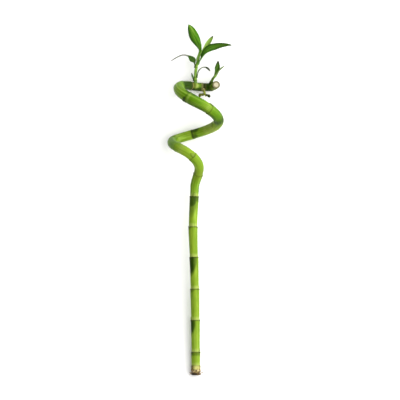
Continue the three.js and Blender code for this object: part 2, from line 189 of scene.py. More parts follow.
def in_row(points):
    """Points of the upright frame in the row frame, in metres, with none of them under the floor."""
    x, y, z = np.moveaxis(np.asarray(points, float), -1, 0)
    cos, sin = math.cos(REST_TILT), math.sin(REST_TILT)
    row = np.stack([x + ROOT_END[0], y * cos - z * sin + ROOT_END[1], y * sin + z * cos + REST_LIFT], -1)
    row[..., 2] = np.maximum(row[..., 2], 0)
    return row * MILLIMETRE


def tube_faces(rows, columns, start):
    """Faces of a tube of rows by columns points, with a point before and one after to close its ends."""
    across = np.arange(columns)
    onward = (across + 1) % columns
    first = start + 1
    faces = []
    for row in range(rows - 1):
        low, high = first + row * columns, first + (row + 1) * columns
        faces += np.stack([low + across, high + across, high + onward, low + onward], -1).tolist()
    last = first + rows * columns
    faces += [[start, first + int(a), first + int(b)] for a, b in zip(across, onward)]
    faces += [[last, last - columns + int(b), last - columns + int(a)] for a, b in zip(across, onward)]
    return faces


def with_ends(grid):
    """A value for each point of a tube, with one for each of the two that close its ends."""
    ends = grid[[0, -1]].mean(axis=1)
    return np.concatenate([ends[:1], grid.reshape(-1, *grid.shape[2:]), ends[1:]])


class Tubes:
    """Closed tubes that make one mesh, with the values and vectors that its material reads."""

    def __init__(self):
        self.points, self.faces, self.layers = [], [], {}

    def add(self, grid, **layers):
        """Add a tube of rows by columns points, with its values and vectors by name."""
        self.faces += tube_faces(*grid.shape[:2], start=sum(len(points) for points in self.points))
        self.points.append(with_ends(grid))
        for label, rows in layers.items():
            self.layers.setdefault(label, []).append(with_ends(rows))

    def piece(self, name, material):
        """The tubes as one smooth object."""
        mesh = bpy.data.meshes.new(name)
        mesh.from_pydata(in_row(np.vstack(self.points)).tolist(), [], self.faces)
        for label, parts in self.layers.items():
            rows = np.concatenate(parts).astype(np.float32)
            kind, key = ("FLOAT", "value") if rows.ndim == 1 else ("FLOAT_VECTOR", "vector")
            mesh.attributes.new(label, kind, "POINT").data.foreach_set(key, rows.ravel())
        mesh.shade_smooth()
        mesh.materials.append(material)
        piece = bpy.data.objects.new(name, mesh)
        bpy.context.scene.collection.objects.link(piece)
        return piece


def round_grid(distances, columns):
    """Distances along a line by angles round it, as two grids."""
    return np.meshgrid(distances, np.arange(columns) * 2 * math.pi / columns, indexing="ij")


def ring_grid(line, distance, angle, radius):
    """Points round a line: one row for each distance, one column for each angle."""
    point, _, side, out = line.at(distance)
    return point + (side * np.cos(angle)[..., None] + out * np.sin(angle)[..., None]) * radius[..., None]


def unrolled(radius, angle, distance):
    """Where a bent stem's points would be if it were straight, for textures that follow it."""
    return np.stack([radius * np.cos(angle), radius * np.sin(angle), distance], -1)


def waves(x, y, seed):
    """Smooth unevenness between about -1 and 1, from a few seeded waves."""
    count = 6
    random = np.random.default_rng(seed)
    total = 0
    for _ in range(count):
        a, b, phase = random.uniform(-1, 1), random.uniform(-1, 1), random.uniform(0, 2 * math.pi)
        total = total + np.sin(a * x + b * y + phase)
    return total / math.sqrt(2 * count)


# Materials

class Nodes:
    """A short way to write the nodes of a new material or world."""

    def __init__(self, name, kind="materials"):
        self.owner = getattr(bpy.data, kind).new(name)
        self.owner.use_nodes = True
        self.tree = self.owner.node_tree

    def add(self, kind, inputs=None, output=0, **settings):
        """A new node's output."""
        node = self.tree.nodes.new("ShaderNode" + kind)
        for key, value in settings.items():
            setattr(node, key, value)
        for key, value in (inputs or {}).items():
            self.put(node.inputs[key], value)
        return node.outputs[output]

    def put(self, socket, value):
        """Feed an input from another node, or set it to a value or a colour."""
        if isinstance(value, bpy.types.NodeSocket):
            self.tree.links.new(value, socket)
        else:
            socket.default_value = color(value) if isinstance(value, str) else value

    def value(self, label, output="Fac"):
        """A value that the mesh carries, or with output "Vector" a vector."""
        return self.add("Attribute", output=output, attribute_name=label)

    def math(self, operation, a, b=0, clamp=False):
        return self.add("Math", {0: a, 1: b}, operation=operation, use_clamp=clamp)

    def plus(self, a, b, clamp=False):
        return self.math("ADD", a, b, clamp)

    def times(self, a, b):
        return self.math("MULTIPLY", a, b)

    def scaled(self, vector, factors):
        return self.add("VectorMath", {0: vector, 1: factors}, operation="MULTIPLY")

    def noise(self, vector, scale, detail=2, roughness=0.5):
        """Noise at a scale, or at one for each axis."""
        if isinstance(scale, tuple):
            vector, scale = self.scaled(vector, scale), 1
        inputs = {"Vector": vector, "Scale": scale, "Detail": detail, "Roughness": roughness}
        return self.add("TexNoise", inputs, output="Fac")

    def ramp(self, value, low, high, start=0, end=1):
        """A soft step from start, where a value is low, to end, where it is high."""
        inputs = {"Value": value, "From Min": low, "From Max": high, "To Min": start, "To Max": end}
        return self.add("MapRange", inputs, interpolation_type="SMOOTHSTEP")

    def broken(self, label, pattern, low, high, start):
        """A mesh's value, broken up by a pattern."""
        return self.times(self.value(label), self.ramp(pattern, low, high, start))

    def mix(self, share, a, b):
        """Two colours, with a share of the second."""
        return self.add("Mix", {"Factor": share, 6: a, 7: b}, output=2, data_type="RGBA")

    def layered(self, base, layers):
        """A colour with others laid over it, from the bottom up, each with its share."""
        for share, over in layers:
            base = self.mix(share, base, over)
        return base

    def finish(self, base, roughness, specular, bump=None):
        """The material, with its shader's inputs set. A bump is its height, strength and distance."""
        inputs = self.tree.nodes["Principled BSDF"].inputs
        self.put(inputs["Base Color"], base)
        self.put(inputs["Roughness"], roughness)
        inputs["Specular IOR Level"].default_value = specular
        if bump:
            bump = dict(zip(("Height", "Strength", "Distance"), bump))
            self.put(inputs["Normal"], self.add("Bump", bump, output="Normal"))
        return self.owner


# Every colour is stored darker by as much as the bright studio light lifts it
STUDIO_LIFT = 1.25


def color(hexadecimal):
    """An sRGB colour as the linear one that nodes take."""
    parts = (int(hexadecimal[k : k + 2], 16) / 255 for k in (0, 2, 4))
    linear = (p / 12.92 if p <= 0.04045 else ((p + 0.055) / 1.055) ** 2.4 for p in parts)
    return (*(p / STUDIO_LIFT for p in linear), 1)


# The cane's colours
YELLOW_GREEN, CANE_GREEN, OLIVE = "8aa82a", "548400", "737f22"
LIGHT_STRIPE, DEEP_STRIPE = "a8cc52", "3f6a04"
LIGHT_STREAK, DEEP_STREAK = "94b03a", "3a5a04"
# The pale colour below also paints highlights, and the dark green beside it also paints shade
PALE_AND_HIGHLIGHT, FLAME_AND_SHADE_GREEN, TAN = "a8ba5c", "203c00", "94895a"
RING_BROWN, BAND_BROWN, SCAR_BROWN = "32300a", "2c2408", "4a3c14"
BUD_FACE, BUD_EDGE = "6c8038", "23380a"
CALLUS, CRUST_DARK, CRUST_LIGHT = "cdc97a", "54400f", "8c7c34"


def cane_material():
    """Satin green skin: yellower low down, pale over each ring, with dark teardrop marks, fine streaks and
    scars, and with painted shade and painted highlights on the coil.
    """
    n = Nodes("cane_skin")
    around = n.value("around", "Vector")
    streaks = n.noise(around, (0.9, 0.9, 0.035), 4, 0.6)
    fine = n.noise(around, (3, 3, 0.12), 3, 0.6)
    stripes = n.noise(around, (0.24, 0.24, 0.014), 2)
    blotches = n.noise(around, (0.16, 0.16, 0.06), 3)
    spots = n.noise(around, (1.1, 1.1, 0.7), 3, 0.7)
    root_blotches = n.noise(around, (0.3, 0.3, 0.3), 3, 0.6)

    def frayed(label, unevenness):
        """A mark that the streaks fray, and that stays off where its value is nil."""
        uneven = n.ramp(streaks, 0.3, 0.7, -unevenness, unevenness)
        return n.times(n.plus(n.value(label), uneven, clamp=True), n.ramp(n.value(label), 0.02, 0.3))

    tone = n.plus(n.value("tone"), n.ramp(blotches, 0.3, 0.7, -0.18, 0.18), clamp=True)
    outside_marks = n.ramp(n.value("dark_mark_and_shade"), 0, 0.8, 1, 0.3)
    flecks = n.times(n.ramp(spots, 0.68, 0.74, 0, 0.7), n.ramp(blotches, 0.5, 0.6))
    crusty = n.math("MAXIMUM", n.ramp(root_blotches, 0.46, 0.6), n.value("crust"))
    crust = n.mix(n.ramp(spots, 0.4, 0.6), CRUST_DARK, CRUST_LIGHT)
    skin = n.layered(n.mix(tone, YELLOW_GREEN, CANE_GREEN), [
        (n.ramp(stripes, 0.52, 0.7, 0, 0.4), LIGHT_STRIPE),
        (n.ramp(stripes, 0.48, 0.32, 0, 0.35), DEEP_STRIPE),
        (n.broken("olive", blotches, 0.35, 0.6, 0.4), OLIVE),
        # Pale bands with painted highlights, and dark marks with painted shade
        (frayed("pale", 0.2), PALE_AND_HIGHLIGHT),
        (frayed("dark_mark_and_shade", 0.22), FLAME_AND_SHADE_GREEN),
        (n.times(n.ramp(streaks, 0.5, 0.72, 0, 0.3), outside_marks), LIGHT_STREAK),
        (n.ramp(streaks, 0.5, 0.28, 0, 0.3), DEEP_STREAK),
        (n.ramp(fine, 0.5, 0.75, 0, 0.14), DEEP_STREAK),
        (n.broken("tan", spots, 0.3, 0.6, 0.5), TAN),
        (n.broken("brown", spots, 0.35, 0.65, 0.6), BAND_BROWN),
        (n.broken("ring", spots, 0.3, 0.7, 0.45), RING_BROWN),
        (flecks, SCAR_BROWN),
        (n.times(n.value("bud"), 0.5), BUD_FACE),
        (n.times(n.value("bud_edge"), 0.6), BUD_EDGE),
        (n.times(n.value("callus"), 0.9), n.mix(crusty, CALLUS, crust)),
    ])
    roughness = n.ramp(n.plus(streaks, n.times(fine, 0.4)), 0.4, 1, 0.3, 0.46)
    height = n.plus(n.times(streaks, 0.7), n.times(fine, 0.3))
    return n.finish(skin, roughness, specular=0.07, bump=(height, 0.3, 0.0004))


def cut_material():
    """The pale cut face: cream flesh with darker fibre dots and a thin brown rim."""
    n = Nodes("cut_face")
    around = n.value("around", "Vector")
    dots = {"Vector": n.scaled(around, (1.6, 1.6, 1.6)), "Scale": 1}
    dots = n.add("TexVoronoi", dots, output="Distance")
    edge = n.plus(n.value("radius"), n.ramp(n.noise(around, 0.45, 4), 0.3, 0.7, -0.05, 0.05))
    flesh = n.layered(n.mix(n.noise(around, 0.5, 3), "d6d0b8", "bdb28c"), [
        (n.ramp(dots, 0.3, 0.1, 0, 0.35), "8f8259"),
        (n.ramp(edge, 0.46, 0.68, 0, 0.9), "6f6846"),
        (n.ramp(edge, 0.86, 0.96), "443d22"),
    ])
    return n.finish(flesh, 0.75, specular=0.2, bump=(dots, 0.4, 0.0003))


def crown_material():
    """Brown, cracked callus with paler, yellow places, darker at its foot, and pinkish-brown roots."""
    n = Nodes("root_callus")
    around = n.value("around", "Vector")
    lumps = n.noise(around, 0.35, 4, 0.6)
    grit = n.noise(around, 1.6, 4, 0.7)
    bark = n.layered(n.mix(n.ramp(lumps, 0.35, 0.6), "46330c", "94763a"), [
        (n.broken("pale", lumps, 0.4, 0.58, 0.1), "d8c88c"),
        (n.broken("dark", grit, 0.3, 0.6, 0.55), "0c0601"),
        (n.ramp(grit, 0.5, 0.38, 0, 0.6), "2c1c06"),
        (n.value("root"), n.mix(n.ramp(grit, 0.3, 0.7), "9c8268", "b9a88f")),
    ])
    roughness = n.ramp(grit, 0.3, 0.7, 0.65, 0.9)
    return n.finish(bark, roughness, specular=0.3, bump=(grit, 0.7, 0.0008))


def shoot_material(name, light, dark, foot):
    """A side shoot: long streaks of light and darker green, another colour at its foot, and brown lobes."""
    n = Nodes(name)
    around = n.value("around", "Vector")
    streaks = n.noise(around, (0.9, 0.9, 0.08), 3, 0.6)
    fine = n.noise(around, (3.5, 3.5, 0.3), 3)
    skin = n.layered(n.mix(n.ramp(streaks, 0.35, 0.65), dark, light), [
        (n.broken("foot", streaks, 0.3, 0.6, 0.6), foot),
        (n.broken("rim", fine, 0.3, 0.6, 0.5), "47521a"),
        (n.value("brown"), n.mix(n.ramp(fine, 0.4, 0.6), "3a400a", "5f641e")),
        (n.value("deep"), "182a04"),
    ])
    roughness = n.ramp(fine, 0.3, 0.7, 0.38, 0.55)
    return n.finish(skin, roughness, specular=0.15, bump=(fine, 0.3, 0.0003))


# What most leaves share; a leaf's own colours go over it
LEAF_COLORS = {"deep": "336a00", "blade": "559010", "light": "93c042", "foot": "7ba042", "tip": "2c341f"}


def leaf_material(name, tip_from, tip_blend=0.05, edge=None, streak=None, dry=None, **colors):
    """A leaf: fine veins, a paler midrib, a foot of its own colour, and a withered tip.

    The tip starts at tip_from along the leaf and blends in over tip_blend. edge is the darker side, 1 or -1.
    streak is a light band: its place across, where along it starts and is full, and its strength.
    dry is where along the leaf starts to dry, where it is dry, and the dry colour.
    """
    n = Nodes(name)
    deep, blade, light, foot, tip = {**LEAF_COLORS, **colors}.values()
    sheet = n.value("sheet", "Vector")
    across, along = n.value("across"), n.value("along")
    veins = n.noise(sheet, (2.2, 0.05, 1), 3, 0.6)
    broad = n.noise(sheet, (0.35, 0.03, 1), 2)
    mottle = n.noise(sheet, (0.3, 0.14, 1), 4, 0.6)
    ragged = n.plus(along, n.ramp(mottle, 0.3, 0.7, -0.05, 0.05))
    layers = [
        (n.ramp(veins, 0.5, 0.75, 0, 0.22), light),
        (n.ramp(veins, 0.5, 0.25, 0, 0.28), deep),
        (n.ramp(mottle, 0.5, 0.8, 0, 0.3), light),
        (n.ramp(n.math("ABSOLUTE", across), 0.09, 0.02, 0, 0.3), light),
    ]
    if edge:
        layers.append((n.ramp(n.times(across, edge), 0.3, 0.85, 0, 0.9), n.mix(0.5, deep, "0b2000")))
    if streak:
        where, reach, strength = streak
        band = n.ramp(n.math("ABSOLUTE", n.math("SUBTRACT", across, where)), 0.34, 0.05, 0, strength)
        layers.append((n.times(band, n.ramp(along, *reach)), light))
    layers.append((n.ramp(along, 0.3, 0.06, 0, 0.9), foot))
    if dry:
        start, full, dead = dry
        layers.append((n.ramp(ragged, start, full), n.mix(n.ramp(veins, 0.4, 0.7), dead, "8b8a78")))
    layers.append((n.ramp(ragged, tip_from, min(tip_from + tip_blend, 1)), tip))
    green = n.layered(n.mix(n.ramp(broad, 0.35, 0.65), deep, blade), layers)
    height = n.plus(veins, n.times(broad, 0.5))
    roughness = n.ramp(veins, 0.3, 0.7, 0.38, 0.55)
    return n.finish(green, roughness, specular=0.15, bump=(height, 0.3, 0.0003))


def floor_material():
    """Plain pale paper with a faint grain."""
    n = Nodes("floor_paper")
    grain = n.noise(n.add("TexCoord", output="Object"), 60, 3)
    shade = n.mix(grain, (0.93, 0.93, 0.925, 1), (0.95, 0.95, 0.945, 1))
    return n.finish(shade, 0.9, specular=0.1)


# The cane

def relief(distance):
    """The stem's radius: widest just under each scar, with a thin lip there, and narrowest just above it."""
    lip_length, lip_rise, lip, narrowing, swelling, drop_length = 1.9, 1.1, 0.03, 0.06, 0.1, 0.7
    i, lower, upper = between_scars(distance)
    along = (distance - lower) / (upper - lower)
    on_lip = step(distance, upper - lip_length, upper - lip_length + lip_rise)
    flare = swelling * along**1.6 - narrowing + lip * on_lip
    top_of_lower = swelling - narrowing + lip
    drop = 1 - step(distance - lower, 0, drop_length)
    flare = np.where((drop > 0) & (i > 1), flare + (top_of_lower - flare) * drop, flare)
    return smooth(GIRTH, distance) * (1 + flare * smooth(FLARE, distance))


def facing_angle(distance, direction):
    """The angle round the stalk that faces a direction of the upright frame, at a distance along it."""
    _, _, side, out = stalk.at(distance)
    return math.atan2(float(out @ direction), float(side @ direction))


def apart(angle, centre):
    """How far two angles are apart, from -pi to pi."""
    return (angle - centre + math.pi) % (2 * math.pi) - math.pi


# Dark teardrop marks, and painted shade on the coil's strands: the scar's number, where the mark faces, its
# length, its half-width in radians and its strength. It reaches from the scar towards the root, or with a
# length below zero towards the cut.
FLAMES_AND_SHADE = [
    (1, (-1, 0, 0.1), 8, 1.5, 0.75),
    (1, (1, 0, 0.1), 7, 1.3, 0.65),
    (2, (-0.85, 0, 0.5), 28, 1.6, 1),
    (3, (-1, 0, 0.3), 8, 1.9, 0.5),
    (4, (-0.82, 0, 0.58), 36, 2.2, 1),
    (5, (-1, 0, 0.2), 7, 1.6, 0.5),
    (5, (1, 0, 0.1), 4, 1.2, 0.5),
    (6, (-0.6, 0, 0.8), 23, 2.1, 0.85),
    (6, (0.1, 0, 1), 12, 2.6, 0.8),
    (6, (-0.5, 0, 0.85), 42, 2, 0.45),
    (8, (-0.6, -0.8, 0.1), 8, 0.9, 0.45),
    # Painted shade: the strand's upper edge darker below scar 9
    (9, (0.6, 0.75, 0.2), 34, 0.8, 0.5),
    (10, (-1, 0.3, 0), 12, 1.2, 0.5),
    (11, (0.2, 0.6, 0.8), 4, 3, 0.9),
    (11, (0.7, -0.2, 0.7), 4.5, 2.4, 0.8),
    (11, (0, 0.9, 0.5), -17, 1.7, 0.8),
    (11, (0.2, -0.5, 0.8), -10, 1.6, 0.7),
    (13, (0.5, -1, 0), 10, 1, 0.35),
    (13, (0.5, 0.8, 0.3), -8, 0.7, 0.7),
    (14, (-0.5, -0.8, 0.6), -6, 1.5, 0.9),
    # Painted shade: the strand's lower side darker below scar 14, and its upper edge on both sides of it
    (14, (-0.6, -0.75, 0.25), 85, 1.5, 0.55),
    (14, (0.5, 0.8, 0.3), 20, 0.9, 0.7),
    (14, (0.5, 0.8, 0.3), -14, 0.9, 0.7),
    (15, (0.3, -1, -0.4), 14, 1.3, 0.4),
    (16, (0, -0.9, 0.3), -16, 1.2, 0.9),
    (17, (0.75, 0.1, 0.65), 38, 2.2, 1),
    (17, (0, -0.9, 0.4), -15, 1.2, 1),
    (17, (0, 0.9, 0.2), -9, 1, 0.9),
    (18, (0, -1, 0.55), 22, 1.5, 1),
    (18, (0, 1, 0.2), 20, 0.9, 0.75),
    (19, (0.2, 0.2, 1), 24, 3.1, 1),
]
# Fainter scars, and how dark their rings are
FAINT_SCARS = {7: 0.7, 8: 0.7, 9: 0.35, 10: 0.4, 12: 0.2, 13: 0.6, 14: 0.8, 15: 0.35, 16: 0.6}
# Bands of deeper green, pale ones, and tan and brown rings: distance along the stem, half-width, strength
DEEP_BANDS = [(36.6, 3.4, 0.6), (582, 8, 0.8), (598, 7, 0.2), (726, 9, 0.9), (776, 6.5, 1)]
# Pale bands; those at 409, 618, 651 and 749 are painted highlights
PALE_AND_HIGHLIGHT_BANDS = [
    (749, 3.4, 0.7), (618, 4, 0.25), (535, 6, 0.3), (552, 11, 0.4), (474, 8, 0.25), (651, 2, 0.4),
    (409, 6, 0.3),
]
TAN_RINGS = [(738.8, 0.9, 0.95), (760.6, 1.7, 0.95), (768.4, 0.9, 0.4)]
BROWN_RINGS = [(766, 2.4, 1), (737.2, 0.7, 0.8), (742.8, 3, 0.6), (793.5, 2.5, 0.75), (14.5, 1.6, 0.4)]
# By distance along the stem: from yellow green at 0 to cane green at 1, and how olive it is
TONE = [
    (0, 0), (20, 0), (60, 0.1), (150, 0.1), (220, 0.08), (300, 0.2), (322, 0.65), (345, 0.45),
    (378, 0.4), (412, 0.1), (426, 0.8), (455, 1), (472, 0.85), (486, 0.55), (500, 0.1), (515, 0.75),
    (532, 0.35), (560, 0.2), (585, 1), (600, 0.95), (614, 0.5), (632, 1), (655, 1), (675, 0.65),
    (695, 0.65), (720, 1), (797, 1),
]
OLIVENESS = [
    (0, 0.35), (30, 0.1), (120, 0.1), (330, 0.1), (352, 0.6), (368, 0.2), (400, 0.05), (450, 0.15),
    (465, 0.35), (490, 0.1), (520, 0.15), (550, 0.45), (575, 0.3), (600, 0.15), (680, 0.05), (700, 0.1),
    (722, 0.2), (737, 1), (752, 0.75), (766, 0.8), (797, 0.7),
]


def flames_and_shade(distance, angle):
    """How dark the teardrop marks and the painted shade make each point."""
    darkness = np.zeros_like(distance)
    for number, direction, length, half_width, strength in FLAMES_AND_SHADE:
        centre = facing_angle(SCARS[number], unit(direction))
        off = np.clip(np.abs(apart(angle, centre)) / half_width, 0, 1)
        away = (SCARS[number] - distance) * np.sign(length)
        reach = abs(length) * (1 - off**2)
        soft = 0.35 * abs(length) + 1.2
        mask = strength * step(reach - away, -0.15 * soft, soft) * (away > -0.4) * (1 - step(off, 0.25, 1))
        darkness = np.maximum(darkness, mask)
    return darkness


def bands(distance, rows):
    """How strongly bands show at each point."""
    return np.clip(sum(strength * bell(distance - at, width) for at, width, strength in rows), 0, 1)


def cane_marks(distance, angle):
    """The values that the cane's material reads at each of its points."""
    i, lower, upper = between_scars(distance)
    from_scar, to_scar = distance - lower, upper - distance
    on_coil = step(distance, 340, 350)
    # Pale by the root and above each scar, more so where the scars are far apart, and hardly on the coil
    wide_internode = step(upper - lower, 20, 45)
    pale = (0.3 + 0.5 * wide_internode) * (1 - step(from_scar, 1.5, 9)) * (1 - 0.82 * on_coil)
    pale = np.maximum(pale, 0.6 * (1 - step(distance, 17, 25)))
    # A brown ring at each scar, wider and bolder at the sides of the straight stretch
    sideways = np.cos(angle) ** 2 * (1 - on_coil)
    below, above = 0.85 + 0.8 * sideways, 0.6 + 0.3 * sideways
    boldness = np.array([FAINT_SCARS.get(number, 1) for number in range(-1, len(SCARS) + 1)])
    ring = boldness[i] * bell(to_scar - 0.1, below) + boldness[i - 1] * bell(from_scar - 0.3, above)
    return {
        "tone": smooth(TONE, distance) + 0.12 * (1 - step(to_scar, 0, 30)),
        "olive": smooth(OLIVENESS, distance),
        "ring": np.clip(ring, 0, 1) * (0.85 + 0.15 * sideways - 0.1 * on_coil),
        "callus": 1 - step(distance, 13.5, 19),
        "crust": 1 - step(np.cos(apart(angle, 1.4)), 0.6, 0.93),
        "tan": bands(distance, TAN_RINGS),
        "brown": bands(distance, BROWN_RINGS),
        # Pale bands above the scars, with painted highlights on the coil
        "pale": np.maximum(bands(distance, PALE_AND_HIGHLIGHT_BANDS), pale),
        # Dark marks and deep bands, with painted shade on the coil's strands
        "dark_mark_and_shade": np.maximum(bands(distance, DEEP_BANDS), flames_and_shade(distance, angle)),
    }


def bud_shape(distance, angle):
    """How far the dormant buds stand out at each point, and where their faces and their edges are.

    There is one above each scar but the first and the last three, on alternate sides of the stem.
    """
    first_angle, turn, above_scar = 0.4, 2.75, 3.4
    length, width, thickness = 3.6, 2.7, 1.05
    height, face, edge = (np.zeros_like(distance) for _ in range(3))
    for k, scar in enumerate(SCARS[1:-3]):
        centre = first_angle + k * turn
        along = (distance - scar - above_scar) / length
        across = apart(angle, centre) * smooth(GIRTH, scar) / width
        pointed = across * (1 + 0.5 * np.clip(along, -1, 1))
        reach = np.sqrt(along**2 + pointed**2)
        rise = np.sqrt(np.clip(1 - reach**2, 0, None))
        crease = 0.22 * bell(pointed, 0.18) * step(along, -0.6, 0.4)
        height = np.maximum(height, thickness * (rise - crease * (rise > 0)))
        face = np.maximum(face, 1 - step(reach, 0.55, 0.85))
        edge = np.maximum(edge, bell(reach - 1, 0.16))
    return height, face, edge


def cane_rings():
    """Distances of the rings of points: even steps, closer at the scars."""
    even_step, clearance = 0.78, 0.3
    start, end = CROWN_HEIGHT - 1, stalk.length - 0.5
    about_a_scar = np.array([-2.2, -1.7, -1.2, -0.8, -0.4, 0, 0.25, 0.5, 0.75, 1.1])
    even = np.arange(start, end, even_step)
    near = np.concatenate([scar + about_a_scar for scar in SCARS])
    clear = np.abs(even[:, None] - near[None, :]).min(axis=1) > clearance
    return np.sort(np.concatenate([even[clear], near, [end]]))


def cane():
    """The whole stem, with wavy scars, wrinkles above them, dormant buds and its cut face."""
    columns, skin_radius, bare_length = 60, 8, 12
    wave, fine_wave, wave_reach, unevenness = 0.45, 0.2, 6, 0.012
    wrinkle_height, wrinkle_fade = 0.07, 2.5
    rings = cane_rings()
    distance, angle = round_grid(rings, columns)
    nearest = np.array(SCARS)[np.abs(distance[..., None] - np.array(SCARS)).argmin(-1)]
    wobble = wave * np.sin(angle + nearest) + fine_wave * np.sin(3 * angle + 2 * nearest)
    wobble = wobble * bell(distance - nearest, wave_reach) * (distance < stalk.length - bare_length)
    placed = distance + wobble
    uneven = waves(2 * np.cos(angle) + distance * 0.03, 2 * np.sin(angle), 5)
    radius = relief(distance) * (1 + unevenness * uneven)
    wrinkled = np.exp(-np.clip(distance - nearest, 0, None) / wrinkle_fade) * (distance > nearest)
    radius = radius + wrinkle_height * wrinkled * np.sin(7 * angle + 3 * np.sin(2 * angle + nearest))
    bud, bud_face, bud_edge = bud_shape(distance, angle)
    skin = ring_grid(stalk, placed, angle, radius + bud)

    # The cut face, a bevel and a shallow dish: each ring's share of the rim's radius, and its height
    cut_rings = [
        (0.985, -0.25), (0.955, 0), (0.92, 0.05), (0.86, -0.05), (0.72, -0.12), (0.5, -0.18), (0.25, -0.2),
        (0.05, -0.2),
    ]
    grain, grain_within = 0.12, 0.9
    end, ahead, _, _ = stalk.at(stalk.length)
    rim = skin[-1] - end
    rim = rim - ahead * (rim @ ahead)[:, None]
    rough = grain * waves(np.arange(columns) * 0.6, np.arange(columns) * 0.2, 9)[:, None]
    face = np.array([
        end + rim * share + ahead * (height + rough * (share < grain_within)) for share, height in cut_rings
    ])
    values = cane_marks(placed, angle)
    values |= {"bud": bud_face, "bud_edge": bud_edge, "radius": np.ones_like(distance)}
    face_values = {name: np.repeat(rows[-1:], len(cut_rings), 0) for name, rows in values.items()}
    face_values["radius"] = np.repeat([[share] for share, _ in cut_rings], columns, 1)
    values["around"] = unrolled(skin_radius, angle, placed)
    face_values["around"] = face - end + np.array([0, 0, stalk.length])

    tubes = Tubes()
    layers = {name: np.concatenate([rows, face_values[name]]) for name, rows in values.items()}
    tubes.add(np.concatenate([skin, face]), **layers)
    piece = tubes.piece("cane_skin", cane_material())
    piece.data.materials.append(cut_material())
    first_cut = 1 + (len(rings) + 1) * columns
    for polygon in piece.data.polygons:
        polygon.material_index = int(min(polygon.vertices) >= first_cut)
    return piece


# The rooted base

def root_crown():
    """A lumpy callus at the foot of the cane, with short roots all round it."""
    columns, skin_radius = 56, 7.5
    girth, ripple, rounding, round_length = 8, 0.55, 1.3, 1.6
    inside, neck, neck_length = 2.6, 6.75, 2.4
    root_radius, root_columns, root_rows = 1.1, 12, 22
    distance, angle = round_grid(np.linspace(0, CROWN_HEIGHT + inside, 40), columns)
    knob = girth + ripple * np.sin(distance) - rounding * (1 - step(distance, 0, round_length))
    narrowed = knob - (knob - neck) * step(distance, CROWN_HEIGHT, CROWN_HEIGHT + neck_length)
    knob = np.where(distance > CROWN_HEIGHT, narrowed, knob)
    lumps = waves(3 * np.cos(angle) + distance * 0.7, 3 * np.sin(angle), 3) * 0.38
    lumps += waves(9 * np.cos(angle) + distance * 1.6, 9 * np.sin(angle) - distance, 4) * 0.16
    ragged_top = 0.9 * waves(4 * np.cos(angle), 4 * np.sin(angle), 8) * step(distance, 8, CROWN_HEIGHT)
    left_low = np.clip(1.9 * np.cos(apart(angle, 2.35)) - 0.3, 0, 1) * (1 - step(distance, 3, 5.5))
    values = {
        "pale": step(distance, 3, 8.5) * (0.2 + 0.8 * step(np.cos(apart(angle, 1.35)), 0.6, 0.95)),
        "dark": np.maximum(left_low, 0.6 * (1 - step(distance, 0.6, 2.2))),
        "root": 0 * distance,
        "around": unrolled(skin_radius, angle, distance),
    }
    tubes = Tubes()
    tubes.add(ring_grid(stalk, distance + ragged_top, angle, knob + lumps), **values)
    for line in roots():
        far, turn = round_grid(np.linspace(0, line.length, root_rows), root_columns)
        share = far / line.length
        taper = (1 - 0.5 * share) * (1 - 0.9 * step(share, 0.9, 1))
        root = ring_grid(line, far, turn, root_radius * taper * (1 + 0.12 * np.sin(far * 2.1)))
        tubes.add(root, pale=0 * far, dark=0 * far, root=step(far, 6.5, 8.5), around=root)
    return tubes.piece("root_crown_callus", crown_material())


def roots():
    """The roots' middle lines: outward, of uneven lengths. Low ones are nearly level, but one runs down."""
    count, golden_angle, shortest, straight = 11, 2.4, 8.9, 6
    lines = []
    for i in range(count):
        turn = i * golden_angle
        low = math.sin(turn) < -0.3
        outward = unit([-math.cos(turn), 0, -0.1 if low else math.sin(turn)])
        start = np.array([0, 2.5 + (i % 4) * 2.1, -3.2 if low else 0])
        reach = shortest + 0.14 * ((i * 5) % 7) ** 2
        droop = -0.45 if i % 2 else 0.3
        stations = [0, straight, (straight + reach) / 2, reach]
        bent = [start + outward * far + [0, droop * k * k, 0] for k, far in enumerate(stations)]
        lines.append(Line(through(bent), (0, 1, 0.1)))
    return lines


# The side shoots

# Withered lobes beside the bud shoot's tip: centre, long direction, half length, width and depth, and colour
BUD_LOBES = [
    ((11.4, 485, -33), (1, 0.3, 0), (4.6, 2.2, 2), "brown"),
    ((7, 483.6, -32.4), (0.5, 1, 0.1), (3.8, 2.7, 2.4), "brown"),
    ((18.8, 484, -31.8), (1, -0.2, 0), (3.2, 1.8, 1.7), "deep"),
    ((22.2, 482.8, -31.4), (1, -0.5, 0.1), (3.3, 2.6, 2.4), "deep"),
]
# Each shoot's solid and piece, where on the stalk it grows, its skin (a name, and its light, dark and foot
# colours), and its middle line, radius and rims
SHOOTS = {
    "main": dict(
        node="main_shoot_stem", piece="main_shoot", at=746.5,
        skin=("main_shoot_skin", "9cc450", "629028", "56762a"),
        points=[
            (-1.4, 506, -37.5), (-1, 515, -36.5), (-0.4, 524, -35), (0.9, 534, -33.4), (3.4, 543, -31.8),
            (6.6, 554, -29.6),
        ],
        radius=[(0, 3.2), (9, 3), (15, 2.7), (32, 2.6), (42, 2.6), (50, 2), (58, 1)],
        rims=[10.5, 16.5, 33.5],
    ),
    "small": dict(
        node="small_shoot_stem", piece="small_shoot", at=775.5,
        skin=("small_shoot_skin", "628628", "3e5e10", "182c04"),
        points=[(26.6, 506, -35.6), (29.2, 512, -34.6), (32.8, 517, -34), (36, 522.5, -33.2)],
        radius=[(0, 3.3), (10, 3.2), (14, 2.3), (22, 2), (30, 1.1)],
        rims=[11.5, 17],
    ),
    "bud": dict(
        node="bud_shoot", piece="bud_shoot_tip", at=761.5, lobes=BUD_LOBES,
        skin=("bud_skin", "9ba63c", "6c7c22", "94895a"),
        points=[(14.2, 490.5, -35.6), (15.6, 486, -33.4), (17.6, 481.6, -32)],
        radius=[(0, 2.4), (12, 2.1), (20, 1.7)],
        rims=[10.5],
    ),
}
for form in SHOOTS.values():
    form["line"] = Line(through([stalk.at(form["at"])[0], *form["points"]]))


